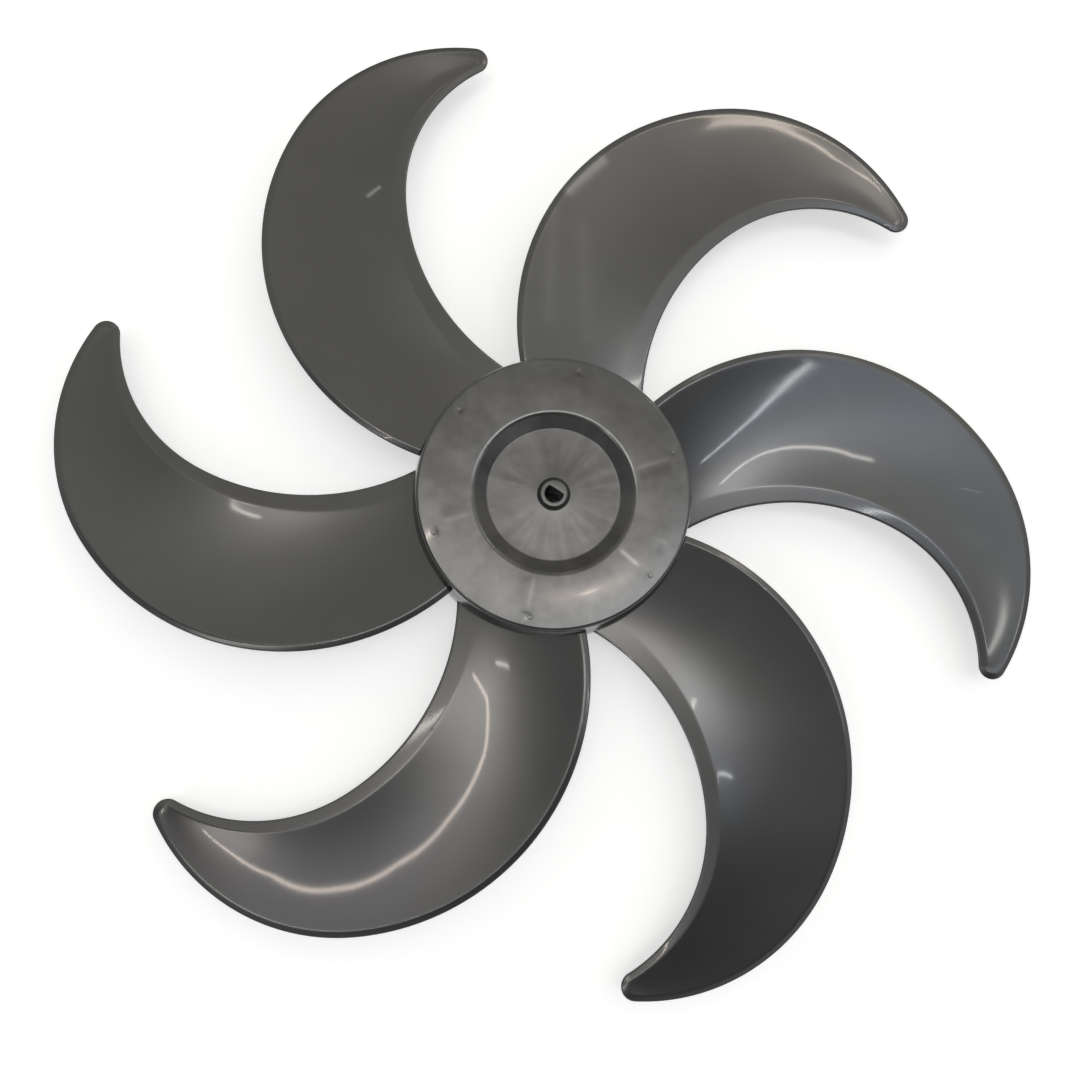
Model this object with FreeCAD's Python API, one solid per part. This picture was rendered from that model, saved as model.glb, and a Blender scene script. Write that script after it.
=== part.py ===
import FreeCAD, Part
import math
import os

from FreeCAD import Vector

# A household fan impeller, moulded in one piece: a drum-shaped hub with six
# crescent blades swept forward. Its axis is Z, and +Z is the side that faces
# the guard and the spinner nut. The origin is on the axis, in the plane of
# the hub's rear rim. All sizes are in millimetres, all angles in degrees.

# Whole impeller
tip_diameter = 350.0
blade_count = 6

# Hub, a drum that is open to the rear
hub_depth = 30.0
shoulder_radius = 46.6
shoulder_rounding = 1.4
barrel_radius = 48.2
barrel_drop = 11.0
barrel_rounding = 12.0
rear_radius = 48.8
hub_wall = 2.2
web_thickness = 2.4

# Recess of the hub's front face
recess_mouth_radius = 27.4
recess_floor_radius = 22.8
recess_depth = 3.2
recess_rounding = 0.9

# Boss that takes the motor shaft
boss_foot_radius = 5.6
boss_top_radius = 4.5
boss_rise = 1.8
boss_tube_radius = 7.4
boss_tube_length = 25.0
shaft_radius = 3.175
shaft_clearance = 0.025
relief_clearance = 0.225
flat_distance = 1.65
flat_azimuth = 57.0
flat_depth = 11.0

# Ribs inside the hub
rib_count = 6
rib_azimuth = 18.0
rib_thickness = 1.6
rib_height = 14.0

# Gate marks on the front face
gate_count = 6
gate_circle_radius = 42.6
gate_azimuth = 19.0
gate_radius = 0.9
gate_rise = 0.15

# Plan of the blade that points to -X. Its round outer edge touches the tip circle
outer_radius = 69.0
outer_centre_azimuth = 167.5
outer_join_azimuth = 214.0
trailing_root_azimuth = 223.8

# Its hollow inner edge, whose circle lies beside the outer one
inner_radius = 57.7
inner_offset = 38.8
inner_offset_azimuth = 76.7
inner_join_azimuth = 242.3
leading_root_azimuth = 160.4
tip_radius = 4.9

# Heights of the two edges over the tip's edge, as pulls from hub to tip
tip_height = 12.0
leading_heights = (0.9, 6.2, 5.1, 4.6, 0.0)
trailing_heights = (10.3, 15.4, 5.0, 1.0, 0.0)

# Section of the blade: a cupped plate between a lip and a narrow rim
blade_thickness = 2.0
edge_thickness = 0.9
edge_rise = 1.0
lip_widths = (8.0, 5.0, 5.0, 2.1)
rim_width = 2.1
cup_depths = (0.6, 2.4, 0.6, 0.6, 0.1)
cup_places = (0.46, 0.50)

# Stations of the loft
body_stations = 8
root_embedding = 1.0


def direction(azimuth):
    """Unit vector of the plan at an azimuth in degrees."""
    angle = math.radians(azimuth)
    return Vector(math.cos(angle), math.sin(angle), 0)


def azimuth_of(vector):
    """Azimuth of a plan vector in degrees, from 0 to 360."""
    return math.degrees(math.atan2(vector.y, vector.x)) % 360


def circles_meet(centre_a, radius_a, centre_b, radius_b):
    """The two points that lie on both circles."""
    line = centre_b - centre_a
    gap = line.Length
    along = (radius_a**2 - radius_b**2 + gap**2) / (2 * gap)
    aside = math.sqrt(radius_a**2 - along**2)
    unit = line * (1 / gap)
    normal = Vector(-unit.y, unit.x, 0)
    middle = centre_a + unit * along
    return middle + normal * aside, middle - normal * aside


def pull(ordinates, share):
    """Smooth law between the first and last ordinate, a Bezier polynomial."""
    order = len(ordinates) - 1
    return sum(
        math.comb(order, index) * share**index * (1 - share) ** (order - index) * value
        for index, value in enumerate(ordinates)
    )


class ArcChain:
    """An edge of the plan: arcs that follow each other, walked by a share."""

    def __init__(self, arcs):
        self.arcs = arcs
        self.lengths = [radius * math.radians(start - end) for _, radius, start, end in arcs]

    def point(self, share):
        left = share * sum(self.lengths)
        last = len(self.arcs) - 1
        for index, (centre, radius, start, _) in enumerate(self.arcs):
            if left <= self.lengths[index] or index == last:
                return centre + direction(start - math.degrees(left / radius)) * radius
            left -= self.lengths[index]


def edge_chain(root, tip_circle_centre, tip_circle_radius, join_azimuth, tip_centre):
    """An edge from its root point along a tangent arc onto its outer circle, up to the round tip."""
    normal = direction(join_azimuth)
    join = tip_circle_centre + normal * tip_circle_radius
    span = join - root
    root_arc_radius = span.dot(span) / (2 * span.dot(normal))
    root_arc_centre = join - normal * root_arc_radius
    return ArcChain([
        (root_arc_centre, root_arc_radius, azimuth_of(root - root_arc_centre), join_azimuth),
        (tip_circle_centre, tip_circle_radius, join_azimuth, azimuth_of(tip_centre - tip_circle_centre)),
    ])


def blade_plan():
    """Both edges of one blade in plan, and the centre of its round tip."""
    root_radius = shoulder_radius - hub_wall - root_embedding
    outer = direction(outer_centre_azimuth) * (tip_diameter / 2 - outer_radius)
    inner = outer + direction(inner_offset_azimuth) * inner_offset
    meets = circles_meet(outer, outer_radius - tip_radius, inner, inner_radius + tip_radius)
    tip_centre = max(meets, key=lambda point: point.y)
    leading = edge_chain(
        direction(leading_root_azimuth) * root_radius, inner, inner_radius, inner_join_azimuth, tip_centre
    )
    trailing = edge_chain(
        direction(trailing_root_azimuth) * root_radius, outer, outer_radius, outer_join_azimuth, tip_centre
    )
    return leading, trailing, tip_centre


def section_wire(start, end, corners, sags, place=0.5):
    """Closed wire in the upright plane over start-end.

    Each corner is (distance from start, height). Each side is straight, or
    sags by the value that its first corner has in sags, which is deepest at
    place, a share of the way across.
    """
    along = (end - start) * (1 / (end - start).Length)
    points = [start + along * distance + Vector(0, 0, height) for distance, height in corners]
    sides = []
    for index, point in enumerate(points):
        following = points[(index + 1) % len(points)]
        if sags.get(index):
            low, high = sorted((point, following), key=lambda corner: (corner - start).dot(along))
            control = low + (high - low) * place - Vector(0, 0, 2 * sags[index])
            curve = Part.BezierCurve()
            curve.setPoles([point, control, following])
            sides.append(curve.toShape())
        else:
            sides.append(Part.makeLine(point, following))
    return Part.Wire(sides)


def body_section(leading, trailing, share):
    """Section of the blade where both edges are at the same share of their length."""
    start = leading.point(share)
    end = trailing.point(share)
    chord = (end - start).Length
    lead = tip_height + pull(leading_heights, share)
    trail = tip_height + pull(trailing_heights, share)
    lip_width = pull(lip_widths, share)
    sag = pull(cup_depths, share)
    corners = [
        (0, lead),
        (lip_width, lead + edge_rise),
        (chord - rim_width, trail + edge_rise),
        (chord, trail),
        (chord, trail - edge_thickness),
        (chord - rim_width, trail + edge_rise - blade_thickness),
        (lip_width, lead + edge_rise - blade_thickness),
        (0, lead - edge_thickness),
    ]
    return section_wire(start, end, corners, {1: sag, 5: sag}, pull(cup_places, share))


def make_tip(leading, trailing, tip_centre):
    """The round end: the rim's section turned about the tip's centre."""
    corners = [
        (0, tip_height + edge_rise),
        (tip_radius - rim_width, tip_height + edge_rise),
        (tip_radius, tip_height),
        (tip_radius, tip_height - edge_thickness),
        (tip_radius - rim_width, tip_height + edge_rise - blade_thickness),
        (0, tip_height + edge_rise - blade_thickness),
    ]
    first = leading.point(1) - tip_centre
    sweep = (azimuth_of(trailing.point(1) - tip_centre) - azimuth_of(first)) % 360
    section = Part.Face(section_wire(tip_centre, tip_centre + first, corners, {}))
    return section.revolve(tip_centre, Vector(0, 0, 1), sweep)


def make_blade():
    """One blade, from inside the hub's wall to its tip."""
    leading, trailing, tip_centre = blade_plan()
    shares = [index / (body_stations - 1) for index in range(body_stations)]
    body = Part.makeLoft([body_section(leading, trailing, share) for share in shares], True)
    return body.fuse(make_tip(leading, trailing, tip_centre))


def rounded_face(corners):
    """Face in the XZ plane from (radius, height, rounding) corners."""
    points = [Vector(radius, 0, height) for radius, height, _ in corners]
    starts = []
    ends = []
    arcs = []
    for index, (point, corner) in enumerate(zip(points, corners)):
        rounding = corner[2]
        if not rounding:
            starts.append(point)
            ends.append(point)
            arcs.append(None)
            continue
        back = (points[index - 1] - point).normalize()
        onward = (points[(index + 1) % len(points)] - point).normalize()
        half = back.getAngle(onward) / 2
        inward = (back + onward).normalize()
        starts.append(point + back * (rounding / math.tan(half)))
        ends.append(point + onward * (rounding / math.tan(half)))
        middle = point + inward * (rounding / math.sin(half) - rounding)
        arcs.append(Part.Arc(starts[-1], middle, ends[-1]).toShape())
    edges = []
    for index, arc in enumerate(arcs):
        if arc:
            edges.append(arc)
        edges.append(Part.makeLine(ends[index], starts[(index + 1) % len(points)]))
    return Part.Face(Part.Wire(edges))


def revolved(corners):
    """Solid of revolution about Z from (radius, height, rounding) corners."""
    return rounded_face(corners).revolve(Vector(0, 0, 0), Vector(0, 0, 1), 360)


def spread(shape, count, first_azimuth=0.0):
    """Copies of a shape, evenly turned about Z."""
    copies = []
    for index in range(count):
        copy = shape.copy()
        copy.rotate(Vector(0, 0, 0), Vector(0, 0, 1), first_azimuth + 360 * index / count)
        copies.append(copy)
    return copies


rear = 0.0
front = rear + hub_depth
barrel = front - barrel_drop
recess_floor = front - recess_depth
boss_front = recess_floor + boss_rise
boss_rear = recess_floor - boss_tube_length
ceiling = recess_floor - web_thickness


def make_drum():
    """The hub as a full drum: front face, recess, boss and rounded side."""
    return revolved([
        (0, boss_front, 0),
        (boss_top_radius, boss_front, 0),
        (boss_foot_radius, recess_floor, 0),
        (recess_floor_radius, recess_floor, 0),
        (recess_mouth_radius, front, recess_rounding),
        (shoulder_radius, front, shoulder_rounding),
        (barrel_radius, barrel, barrel_rounding),
        (rear_radius, rear, 0),
        (0, rear, 0),
    ])


def make_hollow():
    """The space inside the hub, open to the rear, under a web of even thickness."""
    slant = recess_mouth_radius - recess_floor_radius
    return revolved([
        (0, ceiling, 0),
        (recess_floor_radius + slant / 3, ceiling, 0),
        (recess_mouth_radius + slant / 3, front - web_thickness, 0),
        (shoulder_radius - hub_wall, front - web_thickness, 0),
        (barrel_radius - hub_wall, barrel, barrel_rounding),
        (rear_radius - hub_wall, rear, 0),
        (rear_radius - hub_wall, rear - web_thickness, 0),
        (0, rear - web_thickness, 0),
    ])


def make_inner_frame():
    """Boss tube and the ribs that tie it to the hub's wall."""
    tube = Part.makeCylinder(boss_tube_radius, front - boss_rear, Vector(0, 0, boss_rear))
    rib = Part.makeBox(
        rear_radius, rib_thickness, front - ceiling + rib_height,
        Vector(0, -rib_thickness / 2, ceiling - rib_height),
    )
    return tube.fuse(spread(rib, rib_count, rib_azimuth))


def make_bore():
    """Through hole for the shaft: D-shaped in front, round and a little wider behind."""
    radius = shaft_radius + shaft_clearance
    flat_rear = boss_front - flat_depth
    keyed = Part.makeCylinder(radius, flat_depth, Vector(0, 0, flat_rear))
    flat = Part.makeBox(radius, 2 * radius, flat_depth, Vector(flat_distance, -radius, flat_rear))
    flat.rotate(Vector(0, 0, 0), Vector(0, 0, 1), flat_azimuth)
    relief = Part.makeCylinder(
        shaft_radius + relief_clearance, flat_rear - boss_rear, Vector(0, 0, boss_rear)
    )
    return keyed.cut(flat).fuse(relief)


def make_gate_marks():
    """Small discs that the mould's gates leave on the front face."""
    mark = Part.makeCylinder(
        gate_radius, gate_rise + web_thickness / 2,
        Vector(gate_circle_radius, 0, front - web_thickness / 2),
    )
    return spread(mark, gate_count, gate_azimuth)


def make_impeller():
    """The whole moulding, as one solid."""
    hollow = make_hollow().cut(make_inner_frame())
    body = make_drum().fuse(spread(make_blade(), blade_count) + make_gate_marks())
    return body.cut([hollow, make_bore()]).removeSplitter()


impeller = make_impeller()
os.makedirs("parts", exist_ok=True)
impeller.Solids[0].exportStep("parts/impeller.step")
print("impeller valid", impeller.isValid(), "solids", len(impeller.Solids))
print("volume in cubic centimetres", round(impeller.Volume / 1000, 1))
box = impeller.BoundBox
print("box", [round(value, 2) for value in (box.XMin, box.YMin, box.ZMin, box.XMax, box.YMax, box.ZMax)])
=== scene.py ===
# %% [markdown]
# # A six-bladed fan impeller
#
# The object is one moulding of dark grey plastic: a drum-shaped hub with six
# crescent blades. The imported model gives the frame. Every size below is
# written once in millimetres, and every point ends in metres.

# %% The frame
import math

import bpy
import numpy as np
from mathutils import Matrix, Vector


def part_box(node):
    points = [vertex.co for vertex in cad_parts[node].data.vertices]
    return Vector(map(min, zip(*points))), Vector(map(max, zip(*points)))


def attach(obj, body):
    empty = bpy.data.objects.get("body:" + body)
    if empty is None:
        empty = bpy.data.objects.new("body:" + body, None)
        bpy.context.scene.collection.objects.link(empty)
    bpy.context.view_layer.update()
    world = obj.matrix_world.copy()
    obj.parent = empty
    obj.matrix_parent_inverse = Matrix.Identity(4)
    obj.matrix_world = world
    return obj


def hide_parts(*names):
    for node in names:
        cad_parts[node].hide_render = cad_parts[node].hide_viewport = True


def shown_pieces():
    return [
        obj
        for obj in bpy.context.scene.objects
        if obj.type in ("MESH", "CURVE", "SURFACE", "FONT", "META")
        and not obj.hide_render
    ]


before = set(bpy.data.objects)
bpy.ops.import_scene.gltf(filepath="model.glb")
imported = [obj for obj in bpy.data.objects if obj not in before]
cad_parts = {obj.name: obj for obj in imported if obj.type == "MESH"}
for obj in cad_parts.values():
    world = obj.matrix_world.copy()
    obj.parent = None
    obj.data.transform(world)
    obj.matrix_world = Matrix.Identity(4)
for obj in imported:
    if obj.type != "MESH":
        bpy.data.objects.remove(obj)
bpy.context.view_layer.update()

MM = 0.001
low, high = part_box("impeller")
print("impeller in the frame:", [round(value / MM, 1) for value in (*low, *high)], "mm")

# %% [markdown]
# ## The camera
#
# The picture was taken from straight in front, about 34 cm from the hub and a
# few degrees off its axis. Two small turns and one shift make the six blade
# tips fall where the picture has them. A camera could be aimed by eye too,
# but one that is worked out stays right when a blade changes.

# %% The camera
TIP_HEIGHT = 12.0
FRAME_WIDTH_PX = 1084
FOCAL_LENGTH_PX = 1000.0
SENSOR_WIDTH = 36.0
NEAREST, FARTHEST = 0.02, 20.0
# Degrees about X and Y, then the way from the lens to the tips' plane
CAMERA_TURNS = (-6.63, 3.04)
CAMERA_SHIFT = (3.2, 13.92, -354.16)

camera_data = bpy.data.cameras.new("camera")
camera_data.sensor_width = SENSOR_WIDTH
camera_data.lens = SENSOR_WIDTH * FOCAL_LENGTH_PX / FRAME_WIDTH_PX
camera_data.clip_start = NEAREST
camera_data.clip_end = FARTHEST
camera = bpy.data.objects.new("camera", camera_data)
bpy.context.scene.collection.objects.link(camera)
bpy.context.scene.camera = camera
turned = (Matrix.Rotation(math.radians(CAMERA_TURNS[0]), 3, "X")
          @ Matrix.Rotation(math.radians(CAMERA_TURNS[1]), 3, "Y"))
eye = turned.transposed() @ -Vector(CAMERA_SHIFT) + Vector((0, 0, TIP_HEIGHT))
camera.matrix_world = Matrix.Translation(eye * MM) @ turned.transposed().to_4x4()
print("camera at", [round(value) for value in eye], "mm")

# %% [markdown]
# ## A mesh from a grid of points
#
# Both the hub and the blades are closed loops carried along a path: a section
# along a blade, a profile about the axis. One helper turns any such grid into
# a mesh. Faces could be added one by one, but whole arrays are quicker.

# %% A mesh from a grid of points
def loft_mesh(name, grid, round_trip=False):
    """Mesh of a grid (rows, points of a loop, xyz) in millimetres.

    Point j of row i joins point j + 1 of the same row, the last joins the
    first, and each row joins the next. With round_trip the last row joins
    the first too, else the end rows are closed by one face each.
    """
    rows, around, _ = grid.shape
    index = np.arange(rows * around).reshape(rows, around)
    below = index if round_trip else index[:-1]
    above = np.roll(index, -1, axis=0) if round_trip else index[1:]
    quads = np.stack([below, np.roll(below, -1, 1), np.roll(above, -1, 1), above], -1)
    faces = quads.reshape(-1, 4).tolist()
    if not round_trip:
        faces += [index[0, ::-1].tolist(), index[-1].tolist()]
    mesh = bpy.data.meshes.new(name)
    mesh.from_pydata((grid.reshape(-1, 3) * MM).tolist(), [], faces)
    mesh.polygons.foreach_set("use_smooth", np.ones(len(faces), bool))
    return mesh


def add_piece(name, mesh):
    """Object of a mesh, at the origin of the frame, riding on the one body."""
    piece = bpy.data.objects.new(name, mesh)
    bpy.context.scene.collection.objects.link(piece)
    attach(piece, "root")
    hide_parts("impeller")
    return piece


# %% [markdown]
# ## The plan of a blade
#
# Seen from the front, a blade is a crescent: a round outer edge that touches
# the tip circle and a hollow inner edge, joined by a round tip. Each edge is
# two arcs that follow each other smoothly. The edges could be traced as long
# lists of points, but arcs are what the toolmaker cut.

# %% The plan of a blade
TIP_DIAMETER = 350.0
BLADE_COUNT = 6
ROOT_RADIUS = 43.4
OUTER_RADIUS = 69.0
OUTER_CENTRE_AZIMUTH = 167.5
OUTER_JOIN = 214.0
TRAILING_ROOT = 223.8
INNER_RADIUS = 57.7
INNER_OFFSET = 38.8
INNER_OFFSET_AZIMUTH = 76.7
INNER_JOIN = 242.3
LEADING_ROOT = 160.4
TIP_RADIUS = 4.9


def unit(azimuth):
    """Unit vectors of the plan at azimuths in degrees."""
    angle = np.radians(azimuth)
    return np.stack([np.cos(angle), np.sin(angle)], -1)


def azimuth_of(vector):
    """Azimuth of a plan vector in degrees, from 0 to 360."""
    return float(np.degrees(np.arctan2(vector[1], vector[0]))) % 360


def circles_meet(centre_a, radius_a, centre_b, radius_b):
    """The meeting point of two circles that lies further up the plan."""
    line = centre_b - centre_a
    gap = np.hypot(*line)
    along = (radius_a**2 - radius_b**2 + gap**2) / (2 * gap)
    aside = math.sqrt(radius_a**2 - along**2)
    across = np.array([-line[1], line[0]]) / gap
    middle = centre_a + line / gap * along
    return max(middle + across * aside, middle - across * aside, key=lambda point: point[1])


outer_centre = unit(OUTER_CENTRE_AZIMUTH) * (TIP_DIAMETER / 2 - OUTER_RADIUS)
inner_centre = outer_centre + unit(INNER_OFFSET_AZIMUTH) * INNER_OFFSET
tip_centre = circles_meet(outer_centre, OUTER_RADIUS - TIP_RADIUS, inner_centre, INNER_RADIUS + TIP_RADIUS)


def edge_arcs(root_azimuth, centre, radius, join):
    """The two arcs of an edge as (centre, radius, first azimuth, last azimuth).

    The root arc ends on the outer circle at the azimuth join with the same
    direction, and starts at the root point: its radius is the square of the
    span between the two points over twice the span along the normal.
    """
    root = unit(root_azimuth) * ROOT_RADIUS
    normal = unit(join)
    span = centre + normal * radius - root
    root_arc = span @ span / (2 * span @ normal)
    root_centre = centre + normal * (radius - root_arc)
    return [
        (root_centre, root_arc, azimuth_of(root - root_centre), join),
        (centre, radius, join, azimuth_of(tip_centre - centre)),
    ]


leading_arcs = edge_arcs(LEADING_ROOT, inner_centre, INNER_RADIUS, INNER_JOIN)
trailing_arcs = edge_arcs(TRAILING_ROOT, outer_centre, OUTER_RADIUS, OUTER_JOIN)


def along_arcs(arcs, share):
    """Points at shares of the length of two arcs, walked with falling azimuth."""
    lengths = [radius * math.radians(first - last) for _, radius, first, last in arcs]
    distance = share * sum(lengths)
    (centre_a, radius_a, first_a, _), (centre_b, radius_b, first_b, _) = arcs
    near = centre_a + radius_a * unit(first_a - np.degrees(distance / radius_a))
    far = centre_b + radius_b * unit(first_b - np.degrees((distance - lengths[0]) / radius_b))
    return np.where((distance <= lengths[0])[:, None], near, far)


root_radii = [round(arcs[0][1]) for arcs in (leading_arcs, trailing_arcs)]
print("tip centre", np.round(tip_centre, 1), "radii of the root arcs", root_radii)

# %% [markdown]
# ## The form of a blade
#
# The blade is a plate of even thickness that thins toward its round edges.
# Along the hollow edge runs a lip that falls gently outward, and behind it a
# crease where the cup of the blade begins. The height of the front face is
# worked out from the distances to both edges: a point first walks up the
# lip, then turns over the crease into the cup, and at last falls over the
# rim. It could be sculpted, but a formula keeps the six blades alike.

# %% The form of a blade
BLADE_THICKNESS = 2.0
EDGE_THICKNESS = 0.9
RIM_WIDTH = 2.1
RIM_DROP = 0.55
CREASE_BLEND = 0.4
# Laws along the blade, from the hub to the tip
LIP_DROPS = (1.0, 0.9, 0.5, RIM_DROP)
LEADING_HEIGHTS = (0.9, 6.2, 5.1, 4.6, 0.0)
TRAILING_HEIGHTS = (10.3, 15.4, 5.0, 1.0, 0.0)
LIP_WIDTHS = (8.0, 5.0, 5.0, 2.1)
CUP_DEPTHS = (0.6, 2.4, 0.6, 0.6, 0.1)
CUP_PLACES = (0.46, 0.50)
STATIONS = 150
TIP_STATIONS = 14


def pull(ordinates, share):
    """Bezier polynomial: a smooth law from the first to the last ordinate."""
    order = len(ordinates) - 1
    terms = [
        math.comb(order, index) * share**index * (1 - share) ** (order - index) * value
        for index, value in enumerate(ordinates)
    ]
    return np.sum(terms, axis=0)


def distance_to_edge(arcs, points, inside):
    """Distance in plan from an edge, to the arc that faces each point."""
    (centre_a, radius_a, _, join), (centre_b, radius_b, _, _) = arcs
    normal = unit(join)
    beyond = (points - centre_b) @ np.array([normal[1], -normal[0]]) > 0
    to_a = np.linalg.norm(points - centre_a, axis=-1) - radius_a
    to_b = np.linalg.norm(points - centre_b, axis=-1) - radius_b
    distance = np.where(beyond, to_b, to_a)
    return -distance if inside else distance


def share_at(points, guess):
    """Share of each point: the station whose chord from edge to edge passes through it.

    The cross product of the chord and the way to the point is zero there.
    Newton's method finds that station from a guess that is nearly right.
    """
    flat = points.reshape(-1, 2)

    def side(share):
        start = along_arcs(leading_arcs, share)
        chord = along_arcs(trailing_arcs, share) - start
        return chord[:, 0] * (flat[:, 1] - start[:, 1]) - chord[:, 1] * (flat[:, 0] - start[:, 0])

    share = guess.ravel()
    nudge = 0.001
    for _ in range(4):
        slope = (side(share + nudge) - side(share)) / nudge
        share = np.clip(share - side(share) / slope, 0, 1)
    return share.reshape(guess.shape)


def beyond(distance):
    """The positive part of a distance, starting smoothly: (t + sqrt(t**2 + blend**2)) / 2."""
    return (distance + np.sqrt(distance**2 + CREASE_BLEND**2)) / 2


def face_height(points, share):
    """Height of the blade's front face over the face of the tip, at points of the plan.

    From the crease to the rim the cup runs straight across, less a parabola
    whose deepest point lies at the cup's place. Outside them the lip and the
    rim fall to the blade's edges.
    """
    from_leading = distance_to_edge(leading_arcs, points, False)
    from_trailing = distance_to_edge(trailing_arcs, points, True)
    lip_width = pull(LIP_WIDTHS, share)
    past_crease = beyond(from_leading - lip_width)
    before_rim = beyond(from_trailing - RIM_WIDTH)
    across = past_crease / (past_crease + before_rim)
    place = pull(CUP_PLACES, share)
    bend = 1 - 2 * place
    step = across / (np.sqrt(place**2 + bend * across) + place)
    crease, rim = pull(LEADING_HEIGHTS, share), pull(TRAILING_HEIGHTS, share)
    cup = crease + (rim - crease) * across - pull(CUP_DEPTHS, share) * 4 * step * (1 - step)
    on_lip = beyond(lip_width - from_leading) / lip_width
    on_rim = beyond(RIM_WIDTH - from_trailing) / RIM_WIDTH
    return cup - pull(LIP_DROPS, share) * on_lip - RIM_DROP * on_rim


# %% [markdown]
# ## The mesh of a blade
#
# Rows of points cross the blade from the hollow edge to the round one. A
# front sheet and a back sheet, one thickness apart, meet at the edges. The
# points stand closer where the form turns quickly: at the edges, the crease
# and the rim. The first row follows a circle inside the hub's wall, so
# nothing of the root shows in the hub's hollow. A subdivision surface would
# need fewer points, but it wouldn't keep to the formula.

# %% Rows across a blade
SEAT_RADIUS = 46.8
# The shares of a blade in which its edges leave the hub, and the seat's circle fades out
ROOT_SHARES, SEAT_BLEND = 0.3, 0.3
LAST_TIP_TURN = 0.98
# Millimetres with close points on the outer and inner side of the crease and the rim
CREASE_BAND = (1.0, 1.2)
RIM_BAND = (1.2, 1.0)
# Steps of the edge, the lip, the crease, the cup, the start of the rim, the rim and the edge
STEPS_ACROSS = (6, 8, 16, 30, 16, 4, 6)


def blade_rows():
    """Plan points of the rows (rows, across, xy), their share and their distance from the outline."""
    dense = np.linspace(0, ROOT_SHARES, 301)
    first_lead = np.interp(SEAT_RADIUS, np.linalg.norm(along_arcs(leading_arcs, dense), axis=1), dense)
    first_trail = np.interp(SEAT_RADIUS, np.linalg.norm(along_arcs(trailing_arcs, dense), axis=1), dense)
    walk = np.linspace(0, 1, STATIONS)
    start = along_arcs(leading_arcs, first_lead + (1 - first_lead) * walk)
    end = along_arcs(trailing_arcs, first_trail + (1 - first_trail) * walk)
    lead_azimuth = azimuth_of(inner_centre - tip_centre)
    trail_azimuth = azimuth_of(tip_centre - outer_centre)
    turned = np.sin(np.linspace(0, math.pi / 2, TIP_STATIONS + 1)[1:]) * LAST_TIP_TURN
    half = (trail_azimuth - lead_azimuth) / 2 * (1 - turned)
    middle = (trail_azimuth + lead_azimuth) / 2
    start = np.concatenate([start, tip_centre + TIP_RADIUS * unit(middle - half)])
    end = np.concatenate([end, tip_centre + TIP_RADIUS * unit(middle + half)])

    width = np.linalg.norm(end - start, axis=1)
    body_width = np.maximum(width, width[STATIONS - 1])
    lip = pull(LIP_WIDTHS, np.concatenate([walk, np.ones(TIP_STATIONS)]))
    rounding = EDGE_THICKNESS / 2
    bounds = np.stack([
        0 * width, rounding + 0 * width, lip - CREASE_BAND[0], lip + CREASE_BAND[1],
        body_width - RIM_WIDTH - RIM_BAND[0], body_width - RIM_WIDTH + RIM_BAND[1],
        body_width - rounding, body_width,
    ], -1) / body_width[:, None]
    last = len(STEPS_ACROSS) - 1
    ease = np.concatenate(
        [1 - np.cos(np.linspace(0, math.pi / 2, STEPS_ACROSS[0] + 1))[:-1]]
        + [part + np.linspace(0, 1, STEPS_ACROSS[part] + 1)[:-1] for part in range(1, last)]
        + [last + np.sin(np.linspace(0, math.pi / 2, STEPS_ACROSS[last] + 1))]
    )
    part = np.minimum(ease.astype(int), last)
    across = bounds[:, part] + (bounds[:, part + 1] - bounds[:, part]) * (ease - part)
    plan = start[:, None] + (end - start)[:, None] * across[..., None]
    share = np.ones(across.shape)
    share[:STATIONS] = (first_lead + (first_trail - first_lead) * across[:STATIONS]) * (1 - walk[:, None])
    share[:STATIONS] += walk[:, None]

    arc_start, arc_end = azimuth_of(start[0]), azimuth_of(end[0])
    seat = SEAT_RADIUS * unit(arc_start + (arc_end - arc_start) * across[0])
    fade = np.clip(1 - np.arange(len(plan)) / (SEAT_BLEND * STATIONS), 0, 1) ** 3
    plan = plan + fade[:, None, None] * (seat - plan[0])

    margin = np.minimum(
        distance_to_edge(leading_arcs, plan, False), distance_to_edge(trailing_arcs, plan, True)
    )
    margin[STATIONS:] = TIP_RADIUS - np.linalg.norm(plan[STATIONS:] - tip_centre, axis=-1)
    margin[:, [0, -1]] = 0
    share[:STATIONS] = share_at(plan[:STATIONS], share[:STATIONS])
    return plan, share, np.maximum(margin, 0)


# %% The six blades
def blade_grid():
    """Closed loops of points round the blade, row by row, in millimetres.

    Within the rim the back face rises toward the front one, until the edge
    is round with half the edge's thickness as its radius.
    """
    plan, share, margin = blade_rows()
    on_rim = np.minimum(beyond(RIM_WIDTH - margin) / RIM_WIDTH, 1)
    front = face_height(plan, share)
    front[STATIONS:] = -RIM_DROP * on_rim[STATIONS:]
    front += TIP_HEIGHT + BLADE_THICKNESS / 2
    back = front - BLADE_THICKNESS + (BLADE_THICKNESS - EDGE_THICKNESS) * on_rim
    rounding = EDGE_THICKNESS / 2
    inside = 1 - np.minimum(margin, rounding) / rounding
    rounded_off = rounding * (1 - np.sqrt(1 - inside**2))
    upper = np.concatenate([plan, (front - rounded_off)[..., None]], -1)
    lower = np.concatenate([plan, (back + rounded_off)[..., None]], -1)
    return np.concatenate([upper, lower[:, -2:0:-1]], 1)


def turned_about_axis(points, azimuth):
    """Points turned about Z by an azimuth in degrees."""
    cosine, sine = unit(azimuth)
    return points @ np.array([[cosine, sine, 0], [-sine, cosine, 0], [0, 0, 1]])


blade = blade_grid()
for index in range(BLADE_COUNT):
    grid = turned_about_axis(blade, 360 * index / BLADE_COUNT)
    piece = add_piece(f"blade_{index + 1}", loft_mesh(f"blade_{index + 1}", grid))
lowest, highest = blade[..., 2].min().round(2), blade[..., 2].max().round(2)
print("rows and points of a blade:", blade.shape[:2], "from", lowest, "to", highest, "mm high")

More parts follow.
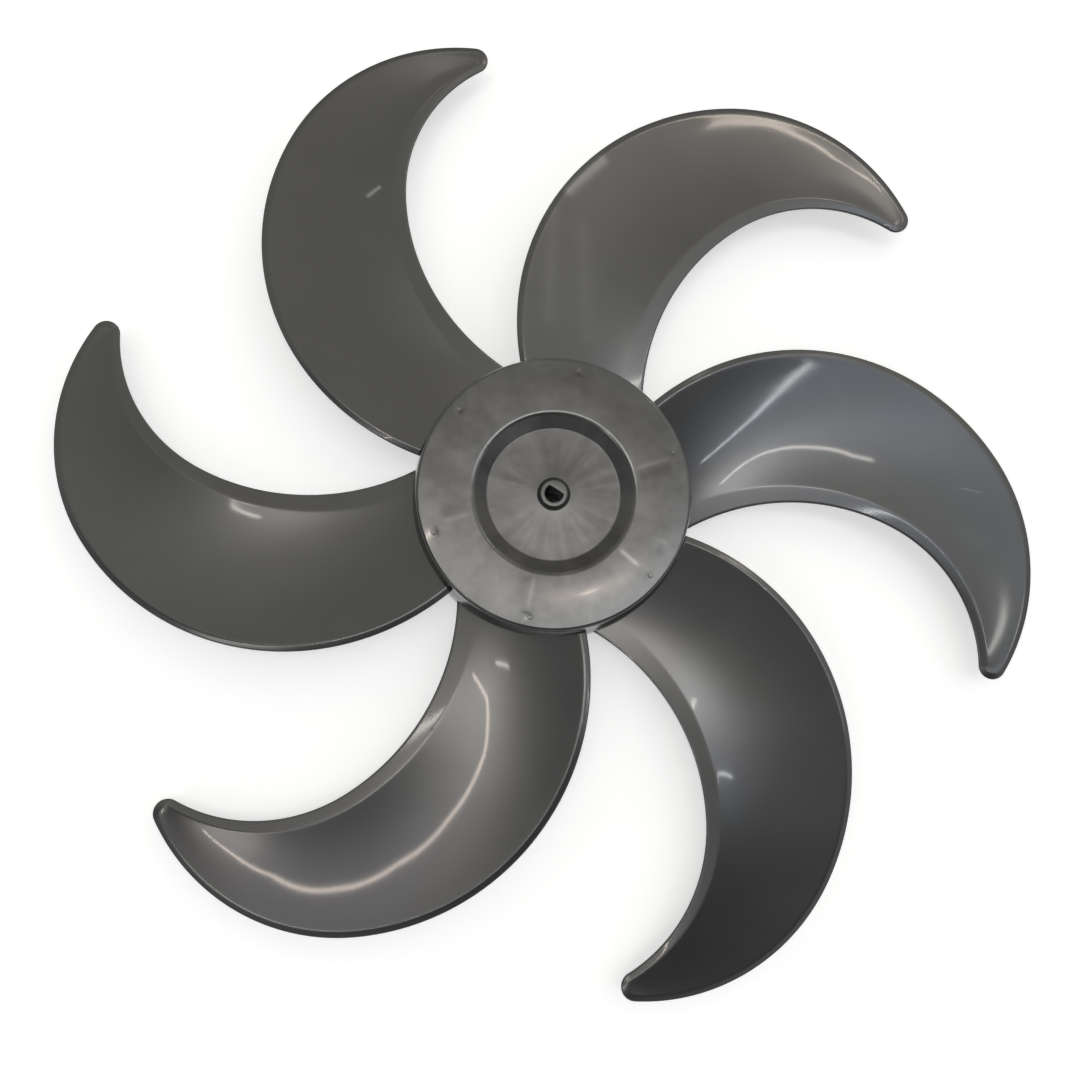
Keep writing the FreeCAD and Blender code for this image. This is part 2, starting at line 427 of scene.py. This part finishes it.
# %% [markdown]
# ## The hub
#
# The hub is a body of revolution: a front face with a round recess, a small
# boss in the middle, a side wall that widens to the rear, and an open back
# with a long tube for the shaft. One closed profile is turned about the axis.
# The Screw modifier turns a profile too, but the bore is a D in front: there
# the radius depends on the azimuth, which a grid of points allows.

# %% A profile with rounded corners
def rounded_profile(corners, step=6.0):
    """Points of a closed profile (radius, height) from corners with a rounding each.

    A rounding is an arc that touches both sides of its corner. It gets a
    point for every step degrees of its turn.
    """
    points = []
    count = len(corners)
    for index, (x, y, rounding) in enumerate(corners):
        corner = np.array([x, y])
        if not rounding:
            points.append(corner)
            continue
        back = np.array(corners[index - 1][:2]) - corner
        onward = np.array(corners[(index + 1) % count][:2]) - corner
        back, onward = back / np.hypot(*back), onward / np.hypot(*onward)
        half = math.acos(np.clip(back @ onward, -1, 1)) / 2
        inward = (back + onward) / np.hypot(*(back + onward))
        centre = corner + inward * rounding / math.sin(half)
        first = corner + back * rounding / math.tan(half) - centre
        sweep = math.pi - 2 * half
        sign = 1 if first[0] * onward[1] - first[1] * onward[0] > 0 else -1
        for angle in np.linspace(0, sweep, max(2, int(math.degrees(sweep) / step) + 2)):
            cosine, sine = math.cos(angle), sign * math.sin(angle)
            points.append(centre + [
                first[0] * cosine - first[1] * sine, first[0] * sine + first[1] * cosine,
            ])
    return np.array(points)


# %% The hub
HUB_FRONT = 30.0
SHOULDER_RADIUS, SHOULDER_ROUNDING = 46.6, 1.4
BARREL_RADIUS, BARREL_HEIGHT, BARREL_ROUNDING = 48.2, 19.0, 12.0
REAR_RADIUS = 48.8
HUB_WALL = 2.2
WEB = 2.4
RECESS_MOUTH, RECESS_FLOOR, RECESS_DEPTH, RECESS_ROUNDING = 27.4, 22.8, 3.2, 3.0
BOSS_FOOT, BOSS_TOP, BOSS_RISE = 5.6, 4.5, 1.8
TUBE_RADIUS, TUBE_LENGTH = 7.4, 25.0
BORE_RADIUS, RELIEF_RADIUS = 3.2, 3.4
FLAT_DISTANCE, FLAT_AZIMUTH, FLAT_DEPTH = 1.65, 57.0, 11.0
HUB_STEPS = 360

recess_floor = HUB_FRONT - RECESS_DEPTH
boss_front = recess_floor + BOSS_RISE
boss_rear = recess_floor - TUBE_LENGTH
flat_rear = boss_front - FLAT_DEPTH
ceiling = recess_floor - WEB
slant = (RECESS_MOUTH - RECESS_FLOOR) / 3
hub_profile = rounded_profile([
    (BORE_RADIUS, boss_front, 0.15),
    (BOSS_TOP, boss_front, 0.35),
    (BOSS_FOOT, recess_floor, 0.4),
    (RECESS_FLOOR, recess_floor, 0.8),
    (RECESS_MOUTH, HUB_FRONT, RECESS_ROUNDING),
    (SHOULDER_RADIUS, HUB_FRONT, SHOULDER_ROUNDING),
    (BARREL_RADIUS, BARREL_HEIGHT, BARREL_ROUNDING),
    (REAR_RADIUS, 0, 0.5),
    (REAR_RADIUS - HUB_WALL, 0, 0.4),
    (BARREL_RADIUS - HUB_WALL, BARREL_HEIGHT, BARREL_ROUNDING),
    (SHOULDER_RADIUS - HUB_WALL, HUB_FRONT - WEB, 0.8),
    (RECESS_MOUTH + slant, HUB_FRONT - WEB, 0.6),
    (RECESS_FLOOR + slant, ceiling, 0.6),
    (TUBE_RADIUS, ceiling, 0.8),
    (TUBE_RADIUS, boss_rear, 0.4),
    (RELIEF_RADIUS, boss_rear, 0.3),
    (RELIEF_RADIUS, flat_rear, 0),
    (BORE_RADIUS, flat_rear, 0),
])

# In the front part of the bore the radius stops at the flat of the D
azimuths = np.arange(HUB_STEPS) * 360 / HUB_STEPS
radius = np.broadcast_to(hub_profile[:, 0], (HUB_STEPS, len(hub_profile))).copy()
facing = np.cos(np.radians(azimuths - FLAT_AZIMUTH))[:, None]
keyed = (hub_profile[:, 0] < BORE_RADIUS + 0.2) & (hub_profile[:, 1] >= flat_rear)
flat_reach = np.where(facing > 0, FLAT_DISTANCE / np.maximum(facing, 0.01), 99)
flat_reach = flat_reach + hub_profile[:, 0] - BORE_RADIUS
radius = np.where(keyed, np.minimum(radius, flat_reach), radius)
direction = unit(azimuths)
hub_grid = np.stack([
    radius * direction[:, :1], radius * direction[:, 1:],
    np.broadcast_to(hub_profile[:, 1], radius.shape),
], -1)
hub = add_piece("hub", loft_mesh("hub", hub_grid[::-1], round_trip=True))
print("points in the hub's profile:", len(hub_profile))

# %% [markdown]
# ## Ribs and gate marks
#
# Six thin ribs tie the shaft tube to the wall inside the hub, and six small
# round marks on the front face show where the plastic came in. Each is one
# small loft, made once and turned about the axis. The Array modifier copies
# in a circle too, but only about a helper object.

# %% Ribs
RIB_AZIMUTH = 18.0
RIB_THICKNESS = 1.6
RIB_HEIGHT = 14.0
RIB_START, RIB_END = TUBE_RADIUS - 0.5, 45.5
RIB_SINK = 0.6


def six_of(name, grid, azimuth):
    """One mesh of a closed loft, turned to an azimuth and then on from blade to blade."""
    turns = [azimuth + 360 * index / BLADE_COUNT for index in range(BLADE_COUNT)]
    parts = [loft_mesh(name, turned_about_axis(grid, turn)) for turn in turns]
    points = []
    faces = []
    for part in parts:
        offset = len(points)
        points += [vertex.co[:] for vertex in part.vertices]
        faces += [[corner + offset for corner in polygon.vertices] for polygon in part.polygons]
        bpy.data.meshes.remove(part)
    mesh = bpy.data.meshes.new(name)
    mesh.from_pydata(points, [], faces)
    return mesh


def rib_grid():
    """A flat bar from the tube to the wall, with a round lower edge. Its top sinks into the web."""
    half = RIB_THICKNESS / 2
    bottom = ceiling - RIB_HEIGHT
    turn_points = np.radians(np.arange(180, 361, 20))
    loop_y = np.concatenate([[half], [-half], half * np.cos(turn_points)])
    loop_z = np.concatenate([[0, 0], bottom + half + half * np.sin(turn_points)])
    reach = np.array([RIB_START, RECESS_FLOOR, RECESS_MOUTH + slant, RIB_END])
    top = np.array([ceiling, ceiling, HUB_FRONT - WEB, HUB_FRONT - WEB]) + RIB_SINK
    grid = np.zeros((len(reach), len(loop_y), 3))
    grid[..., 0] = reach[:, None]
    grid[..., 1] = loop_y
    grid[..., 2] = loop_z
    grid[:, :2, 2] = top[:, None]
    return grid[:, ::-1]


ribs = add_piece("hub_ribs", six_of("hub_ribs", rib_grid(), RIB_AZIMUTH))
print("faces of the ribs:", len(ribs.data.polygons))

# %% Gate marks
GATE_CIRCLE = 42.6
GATE_AZIMUTH = 19.0
GATE_RADIUS = 0.9
GATE_RISE = 0.22


def gate_grid():
    """A flat disc with a round rim, as rings (share of radius, share of rise) about its own axis."""
    around = np.radians(np.arange(0, 360, 15))
    rings = [(1.0, -0.3), (1.0, 0.4), (0.93, 0.8), (0.8, 1.0), (0.3, 0.9)]
    grid = np.zeros((len(rings), len(around), 3))
    for row, (width, rise) in enumerate(rings):
        grid[row, :, 0] = GATE_CIRCLE + GATE_RADIUS * width * np.cos(around)
        grid[row, :, 1] = GATE_RADIUS * width * np.sin(around)
        grid[row, :, 2] = HUB_FRONT + GATE_RISE * rise
    return grid


gate_marks = add_piece("gate_marks", six_of("gate_marks", gate_grid(), GATE_AZIMUTH))
print("faces of the gate marks:", len(gate_marks.data.polygons))

# %% [markdown]
# ## Shader maths
#
# A pattern on a surface is a formula of the place. One small class wraps a
# socket of a node tree, so that the formula can be written in Python and the
# nodes appear behind it. Wiring the nodes by hand would hide the formula.

# %% Shader maths
class Field:
    """A socket of a node tree. Operators on it add Math nodes."""

    def __init__(self, tree, socket):
        self.tree = tree
        self.socket = socket

    def node(self, kind, inputs=None, output=0, **settings):
        """Any other node: its settings first, then values or links of its inputs."""
        made = self.tree.nodes.new(kind)
        for name, value in settings.items():
            setattr(made, name, value)
        for name, value in (inputs or {}).items():
            if isinstance(value, Field):
                self.tree.links.new(value.socket, made.inputs[name])
            else:
                made.inputs[name].default_value = value
        return Field(self.tree, made.outputs[output])

    def maths(self, operation, *values):
        """A Math node on the values given."""
        return self.node("ShaderNodeMath", dict(enumerate(values)), operation=operation)

    def vector(self, operation, other=(0.0, 0.0, 0.0), output=0):
        """A Vector Math node on this vector and another. Its output 1 is a number."""
        return self.node("ShaderNodeVectorMath", {0: self, 1: other}, output, operation=operation)

    def __add__(self, other):
        return self.maths("ADD", self, other)

    def __sub__(self, other):
        return self.maths("SUBTRACT", self, other)

    def __rsub__(self, other):
        return self.maths("SUBTRACT", other, self)

    def __mul__(self, other):
        return self.maths("MULTIPLY", self, other)

    def __truediv__(self, other):
        return self.maths("DIVIDE", self, other)

    def __rtruediv__(self, other):
        return self.maths("DIVIDE", other, self)

    __radd__ = __add__
    __rmul__ = __mul__

    def parts(self):
        """The three components of a vector."""
        split = self.node("ShaderNodeSeparateXYZ", {0: self}).socket.node
        return [Field(self.tree, output) for output in split.outputs]

    def flat(self):
        """A place as seen from the front: its height set to 0."""
        return self.vector("MULTIPLY", (1.0, 1.0, 0.0))

    def dot(self, x, y, z=0.0):
        """Dot product of this vector and another, given by its components."""
        return self.vector("DOT_PRODUCT", (x, y, z), 1)

    def scaled(self, colour):
        """A colour or a vector multiplied by this number."""
        return self.node("ShaderNodeVectorMath", {0: colour, 3: self}, operation="SCALE")

    def step(self, first, last):
        """0 below first, 1 above last, smooth between."""
        return self.node(
            "ShaderNodeMapRange",
            {"Value": self, "From Min": first, "From Max": last, "To Min": 0.0, "To Max": 1.0},
            interpolation_type="SMOOTHSTEP",
        )

    def bell(self, centre, width):
        """exp(-((value - centre) / width)**2): 1 at the centre, fading on both sides."""
        away = (self - centre if centre else self) / width
        return self.maths("EXPONENT", 0 - away * away)

    def soft_line(self, start, end, width):
        """exp(-(d / width)**2), with d the distance of a flat place from a line between two points."""
        run = np.subtract(end, start)
        from_start = self.vector("SUBTRACT", (*start, 0.0))
        share = from_start.dot(*(run / (run @ run)))
        nearest = share.node("ShaderNodeClamp", {"Value": share}).scaled((*run, 0.0))
        return from_start.vector("DISTANCE", nearest, 1).bell(0.0, width)


# %% [markdown]
# ## The plastic
#
# The plastic is grey with fine metallic flakes under a smooth skin: the
# flakes give a soft wide gloss, the skin thin sharp lines. One shader holds
# both, with the flakes as its metallic part and the skin as its coat. Two
# layers of glass over metal could be built, but would cost more light paths.

# %% The plastic
PLASTIC_GREY = (0.087, 0.0865, 0.084)
FLAKE_SHARE = 0.8
FLAKE_ROUGHNESS = 0.25
SKIN = 0.8
SKIN_ROUGHNESS = 0.05


def new_material(name):
    """Material with a Principled shader, and a Field of the place on the piece."""
    material = bpy.data.materials.new(name)
    material.use_nodes = True
    tree = material.node_tree
    shader = tree.nodes["Principled BSDF"]
    place = Field(tree, tree.nodes.new("ShaderNodeTexCoord").outputs["Object"])
    return material, shader, place


def feed(value, shader, socket):
    """Give a value to a socket of the shader: a field is linked, a number is set."""
    if isinstance(value, Field):
        value.tree.links.new(value.socket, shader.inputs[socket])
    else:
        shader.inputs[socket].default_value = value


def noise(place, scale, detail=2.0):
    """Noise about 0, most of it between -0.25 and 0.25, with about scale lumps in a metre."""
    return place.node("ShaderNodeTexNoise", {"Vector": place, "Scale": scale, "Detail": detail}) - 0.5


def plastic_material(name, marks, waviness):
    """The plastic on one kind of piece.

    The function marks gives what is added to a grey of 1, marks and
    painted light alike, and the share of skin. The waviness is how far the
    face swells and sinks, in metres.
    """
    material, shader, place = new_material(name)
    mark, skin = marks(place)
    # The grey with its marks, painted highlights and painted shade added
    tone = 1 + 0.16 * noise(place, 22.0) + 0.10 * noise(place, 160.0) + mark
    feed(tone.scaled(PLASTIC_GREY), shader, "Base Color")
    feed(FLAKE_SHARE, shader, "Metallic")
    feed(FLAKE_ROUGHNESS + 0.06 * noise(place, 60.0), shader, "Roughness")
    feed(skin, shader, "Coat Weight")
    feed(SKIN_ROUGHNESS, shader, "Coat Roughness")
    waves = place.node("ShaderNodeBump", {"Height": noise(place, 85.0), "Distance": waviness})
    feed(waves, shader, "Normal")
    return material


# %% [markdown]
# ## Marks of the flow
#
# Where two streams of plastic met in the mould, the front of the hub keeps a
# weld line: a light line with a dark shade beside it, running in from each
# gate mark. They could be drawn as an image, but a line in its own turned
# axes is one formula, used seven times with different strengths. The hub's
# marks also hold painted light: a painted highlight along the upper half of
# the recess's edge, and painted shade on the side wall.

# %% Marks and painted light on the hub
# Each weld line: azimuth, start and end radius in mm, strengths of its light and its dark side
WELD_LINES = (
    (17.0, 28.5, 42.0, 0.42, 0.39),
    (77.0, 28.5, 40.0, 0.06, 0.12),
    (138.0, 28.5, 40.0, 0.08, 0.24),
    (195.0, 28.5, 40.0, 0.34, 0.30),
    (257.0, 28.5, 41.0, 0.45, 0.18),
    (319.0, 28.5, 38.5, 1.30, 0.12),
    (336.0, 38.0, 43.0, 0.30, 0.30),
)
WELD_FADE_IN, WELD_FADE_OUT = 2.0, 3.0
WELD_WIDTH = 0.75
SHADE_OFFSET, SHADE_WIDTH = -3.2, 2.2
# Each gate spot: azimuth and strength
GATE_SPOTS = ((19.0, 0.1), (78.0, 0.5), (139.0, 0.5), (199.0, 0.9), (257.0, 0.9), (318.0, 0.2))
RAY_CIRCLE, RAY_WIDTH, RAY_STRENGTH = 16.0, 8.0, 1.5
# Painted highlight along the upper half of the recess's edge: radius, width and strength
PAINTED_HIGHLIGHT_RADIUS, PAINTED_HIGHLIGHT_WIDTH, PAINTED_HIGHLIGHT_STRENGTH = 27.9, 0.4, 0.7
# Painted shade on the hub's side wall, and how much duller its skin is
SIDE_PAINTED_SHADE, SIDE_DULLER = 0.65, 0.7


def turned_axes(flat, azimuth):
    """How far a place lies out along an azimuth, and how far to its left."""
    cosine, sine = unit(azimuth)
    return flat.dot(cosine, sine), flat.dot(-sine, cosine)


def weld_line(flat, azimuth, start, end, light, dark):
    """A light line with a dark shade beside it, between two radii."""
    out, aside = turned_axes(flat, azimuth)
    begun = out.step(start * MM, (start + WELD_FADE_IN) * MM)
    ended = out.step((end - WELD_FADE_OUT) * MM, end * MM)
    line = light * aside.bell(0.0, WELD_WIDTH * MM) - dark * aside.bell(SHADE_OFFSET * MM, SHADE_WIDTH * MM)
    return begun * (1 - ended) * line


def gate_spot(flat, azimuth, strength):
    """A light spot at a gate mark, with a dark one on its inner side."""
    out, aside = turned_axes(flat, azimuth)
    out = out - GATE_CIRCLE * MM
    light = out.bell(0.8 * MM, 0.6 * MM) * aside.bell(0.3 * MM, 0.8 * MM)
    dark = out.bell(-1.2 * MM, 0.7 * MM) * aside.bell(0.0, 1.6 * MM)
    return strength * (light - 0.9 * dark)


def hub_marks_and_painted_light(place):
    """Marks on the hub's front with a painted highlight on the recess's edge, and its share of skin: the
    side wall gets painted shade and is duller.
    """
    height = place.parts()[2]
    flat = place.flat()
    radius = flat.vector("LENGTH", output=1)
    around = flat.vector("NORMALIZE")
    rays = RAY_STRENGTH * noise(around, 4.5, 3.0) * radius.bell(RAY_CIRCLE * MM, RAY_WIDTH * MM)
    total = rays + 1.1 * noise(place, 70.0, 3.0) + 0.5 * noise(place, 300.0)
    for weld in WELD_LINES:
        total = total + weld_line(flat, *weld)
    for spot in GATE_SPOTS:
        total = total + gate_spot(flat, *spot)
    # Painted highlight: a bright line on the upper half of the recess's edge
    upper = around.parts()[1].step(-0.2, 0.5)
    total = total + PAINTED_HIGHLIGHT_STRENGTH * upper * radius.bell(PAINTED_HIGHLIGHT_RADIUS * MM, PAINTED_HIGHLIGHT_WIDTH * MM)
    front = height.step(26 * MM, 27 * MM)
    # Painted shade: the side wall is darkened
    side = (1 - height.step(26.5 * MM, 29.3 * MM)) * radius.step(44 * MM, 46 * MM)
    return total * front - SIDE_PAINTED_SHADE * side, SKIN - SIDE_DULLER * side


# %% [markdown]
# ## Marks and painted light on the blades
#
# The blades have been rubbed here and there: a bright scuff, a pale
# streak, a scratch and a dark speck. Three more lines are painted light: a
# painted highlight and two soft bands of painted sheen on a blade at the
# top. Each is one soft line between two points of the plan. They could be
# painted on an image, but a handful of lines in a table is easier to move.

# %% Marks and painted light on the blades
# Each streak: start and end in mm, width in mm, strength. The first three are a painted highlight and two
# bands of painted sheen.
STREAKS_AND_PAINTED_HIGHLIGHTS = (
    # A painted highlight, then two soft bands of painted sheen
    ((5.9, 110.4), (18.2, 122.6), 1.8, 1.3),
    ((0.3, 102.0), (-1.5, 63.0), 2.2, 0.22),
    ((11.0, 97.0), (13.0, 58.0), 2.6, 0.16),
    # A scuff, a scratch, a pale streak and a dark speck
    ((-65.8, 109.2), (-62.0, 112.4), 0.7, 2.4),
    ((146.7, 5.1), (154.1, 3.7), 0.3, 0.8),
    ((147.0, -10.0), (153.0, -14.0), 3.0, 0.14),
    ((-40.8, -79.2), (-40.4, -79.2), 0.4, -0.6),
)


def blade_marks_and_painted_light(place):
    """Streaks, a scuff, a scratch, a speck, a painted highlight and painted sheen as soft lines, and the
    blade's share of skin.
    """
    flat = place.flat()
    total = 0.12 * noise(place, 45.0)
    for start, end, width, strength in STREAKS_AND_PAINTED_HIGHLIGHTS:
        line = flat.soft_line(np.multiply(start, MM), np.multiply(end, MM), width * MM)
        total = total + strength * line
    return total, SKIN


hub_plastic = plastic_material("hub_plastic", hub_marks_and_painted_light, 0.12 * MM)
blade_plastic = plastic_material("blade_plastic", blade_marks_and_painted_light, 0.01 * MM)
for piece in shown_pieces():
    if piece.name != "impeller" and piece.type == "MESH":
        piece.data.materials.append(blade_plastic if piece.name.startswith("blade") else hub_plastic)
print("nodes of the plastics:", len(hub_plastic.node_tree.nodes), len(blade_plastic.node_tree.nodes))

# %% [markdown]
# ## Floor
#
# The impeller lies on a plain white floor that keeps its shadow. A little
# light of its own lifts the floor to white for the camera and in
# reflections. Under the hub, where only the bore lets one look, that glow
# is left out as painted shade, so the floor there is dark.
# A white background alone would do, but it would catch no shadow.

# %% Floor
FLOOR_SIZE = 12.0
FLOOR_WHITE = (0.85, 0.85, 0.85, 1)
FLOOR_GLOW = 0.5
HUB_SHADE = (45.0, 47.0)

floor_material, floor_shader, floor_place = new_material("white_floor")
feed(FLOOR_WHITE, floor_shader, "Base Color")
feed(0.9, floor_shader, "Roughness")
feed(0.0, floor_shader, "Specular IOR Level")
tree = floor_material.node_tree
paths = tree.nodes.new("ShaderNodeLightPath")
seen = Field(tree, paths.outputs["Is Camera Ray"])
for output in ("Is Glossy Ray", "Is Transmission Ray"):
    seen = seen.maths("MAXIMUM", seen, Field(tree, paths.outputs[output]))
from_axis = floor_place.vector("LENGTH", output=1)
# Painted shade: no glow under the hub, so the floor seen through the bore is dark
beyond_hub = from_axis.step(HUB_SHADE[0] * MM, HUB_SHADE[1] * MM)
feed((1, 1, 1, 1), floor_shader, "Emission Color")
feed(FLOOR_GLOW * seen * beyond_hub, floor_shader, "Emission Strength")
bpy.ops.mesh.primitive_plane_add(size=FLOOR_SIZE, location=(0, 0, 0))
floor = bpy.context.object
floor.name = "floor"
floor.data.materials.append(floor_material)
print("floor:", FLOOR_SIZE, "m wide")

# %% [markdown]
# ## The room
#
# A glossy part shows the room it is in. The room's brightness is a formula
# of the direction: lighter toward the top and the right of the picture, dark
# toward its bottom, white near the horizon. Over it come soft bright bands,
# each placed by two slopes: metres aside for each metre up. A photographed
# room would do too, but its bands couldn't be moved one by one.

# %% The room
WARM_SIDE, COOL_SIDE = (1.0, 0.985, 0.93), (0.96, 0.985, 1.01)
BLUISH = (0.80, 0.94, 1.25)
# Each band: start and end slopes, width, strength, colour
BANDS = (
    ((-0.17, 0.05), (0.16, 0.015), 0.115, 2.8, (1.0, 0.985, 0.945)),
    ((0.16, 0.0), (0.44, 0.03), 0.09, 1.0, (0.86, 0.95, 1.15)),
    ((0.33, -0.12), (0.44, -0.13), 0.06, 0.6, BLUISH),
    ((0.42, -0.02), (0.66, 0.0), 0.18, 0.10, (0.60, 0.95, 1.40)),
    ((-0.40, 0.32), (0.02, 0.32), 0.12, 0.13, (1.0, 1.0, 1.0)),
    ((-0.20, -0.14), (-0.33, -0.30), 0.08, 0.45, BLUISH),
    ((-0.15, -0.42), (0.02, -0.26), 0.12, 0.17, (1.0, 1.0, 1.0)),
    ((-0.44, -0.40), (-0.66, -0.45), 0.085, 3.0, (1.0, 0.98, 0.95)),
    ((0.07, 0.068), (0.13, 0.074), 0.02, 3.0, (1.15, 0.90, 0.75)),
    ((0.70, -0.07), (0.80, -0.175), 0.035, 7.0, (1.0, 0.98, 0.94)),
    ((0.52, 0.50), (0.62, 0.62), 0.08, 2.2, (1.0, 0.94, 0.86)),
    ((0.00, 0.76), (-0.04, 0.95), 0.06, 1.2, (1.0, 0.95, 0.88)),
)
BASE_LEVEL, TOP_LIFT, RIGHT_LIFT, LEFT_DIP = 0.32, 0.26, 0.24, 0.25
DARK_SIDE = (0.17, -0.51, 0.85)
DARK_LEVEL = 0.12
WALL_LEVEL = 1.0

world = bpy.data.worlds.new("room")
bpy.context.scene.world = world
world.use_nodes = True
tree = world.node_tree
direction = Field(tree, tree.nodes.new("ShaderNodeTexCoord").outputs["Generated"])
x, y, z = direction.parts()
slopes = (1 / z.maths("MAXIMUM", z, 0.05)).scaled(direction.flat())
slope_x, slope_y, _ = slopes.parts()

dim_left = slope_x.bell(-0.70, 0.28) * slope_y.bell(-0.05, 0.18)
level = BASE_LEVEL + TOP_LIFT * y.step(-0.1, 0.2) + RIGHT_LIFT * x.step(0.1, 0.5) - LEFT_DIP * dim_left
level = level * (0.5 + 0.5 * z.step(0.40, 0.56))
dark = direction.dot(*DARK_SIDE).step(0.80, 0.96) * z.step(0.62, 0.78)
level = level * (1 - dark) + DARK_LEVEL * dark
wall = 1 - z.step(0.10, 0.25)
level = level * (1 - wall) + WALL_LEVEL * wall
warmth = y.step(0.02, 0.30)
room = (level * warmth).scaled(WARM_SIDE).vector("ADD", (level * (1 - warmth)).scaled(COOL_SIDE))
for start, end, width, strength, colour in BANDS:
    band = slopes.soft_line(start, end, width)
    room = room.vector("ADD", band.scaled([strength * part for part in colour]))
background = tree.nodes["Background"]
feed(room, background, "Color")
feed(1.0, background, "Strength")
print("bands in the room:", len(BANDS), "nodes:", len(tree.nodes))

# %% [markdown]
# ## Tube lamps
#
# The thin bright lines on the blades are lamps mirrored in the smooth skin.
# Each tube is a chain of narrow lamps high above the part, with its bends
# placed by slopes, like the bands of the room. They could be bright lines in
# the room's formula, but Blender aims at lamps and so needs fewer samples.

# %% Tube lamps
LAMP_HEIGHT = 12.0
TUBE_WIDTH = 0.075
WARM, PLAIN, COOL = (1.0, 0.86, 0.74), (1.0, 0.94, 0.86), (0.95, 0.96, 1.0)
# Each tube: name, radiance, colour, bends
TUBES = (
    ("tube_left", 22.0, WARM, (
        (-0.10, 0.11), (-0.18, 0.06), (-0.207, -0.01), (-0.206, -0.10), (-0.226, -0.177), (-0.27, -0.24),
        (-0.345, -0.304), (-0.45, -0.345), (-0.58, -0.375),
    )),
    ("tube_upper_left", 20.0, PLAIN, ((-0.31, 0.102), (-0.28, 0.112), (-0.242, 0.124))),
    ("tube_low_right", 20.0, COOL, (
        (0.293, -0.16), (0.308, -0.135), (0.335, -0.119), (0.37, -0.115), (0.41, -0.133), (0.45, -0.165),
    )),
    ("tube_right", 20.0, PLAIN, (
        (0.165, -0.022), (0.24, -0.004), (0.28, 0.014), (0.347, 0.078), (0.405, 0.121), (0.44, 0.129),
    )),
    ("tube_upper_right", 20.0, WARM, (
        (0.412, 0.485), (0.424, 0.524), (0.461, 0.566), (0.525, 0.598), (0.552, 0.58), (0.535, 0.512),
    )),
    ("spot", 16.0, WARM, ((0.090, 0.066), (0.106, 0.072))),
)


def add_tube(name, radiance, colour, bends):
    """Narrow lamps from bend to bend, given as slopes, shining straight down."""
    corners = [np.array([*bend, 1.0]) * LAMP_HEIGHT for bend in bends]
    for index, (first, last) in enumerate(zip(corners, corners[1:])):
        data = bpy.data.lights.new(f"{name}_{index + 1}", "AREA")
        data.shape = "RECTANGLE"
        data.size = float(np.linalg.norm(last - first))
        data.size_y = TUBE_WIDTH
        data.energy = math.pi * data.size * TUBE_WIDTH * radiance
        data.color = colour
        lamp = bpy.data.objects.new(data.name, data)
        bpy.context.scene.collection.objects.link(lamp)
        lamp.location = (first + last) / 2
        lamp.rotation_euler = (0, 0, math.atan2(last[1] - first[1], last[0] - first[0]))


for tube in TUBES:
    add_tube(*tube)
bpy.context.scene.view_settings.view_transform = "Standard"
print("tube lamps:", len(TUBES))
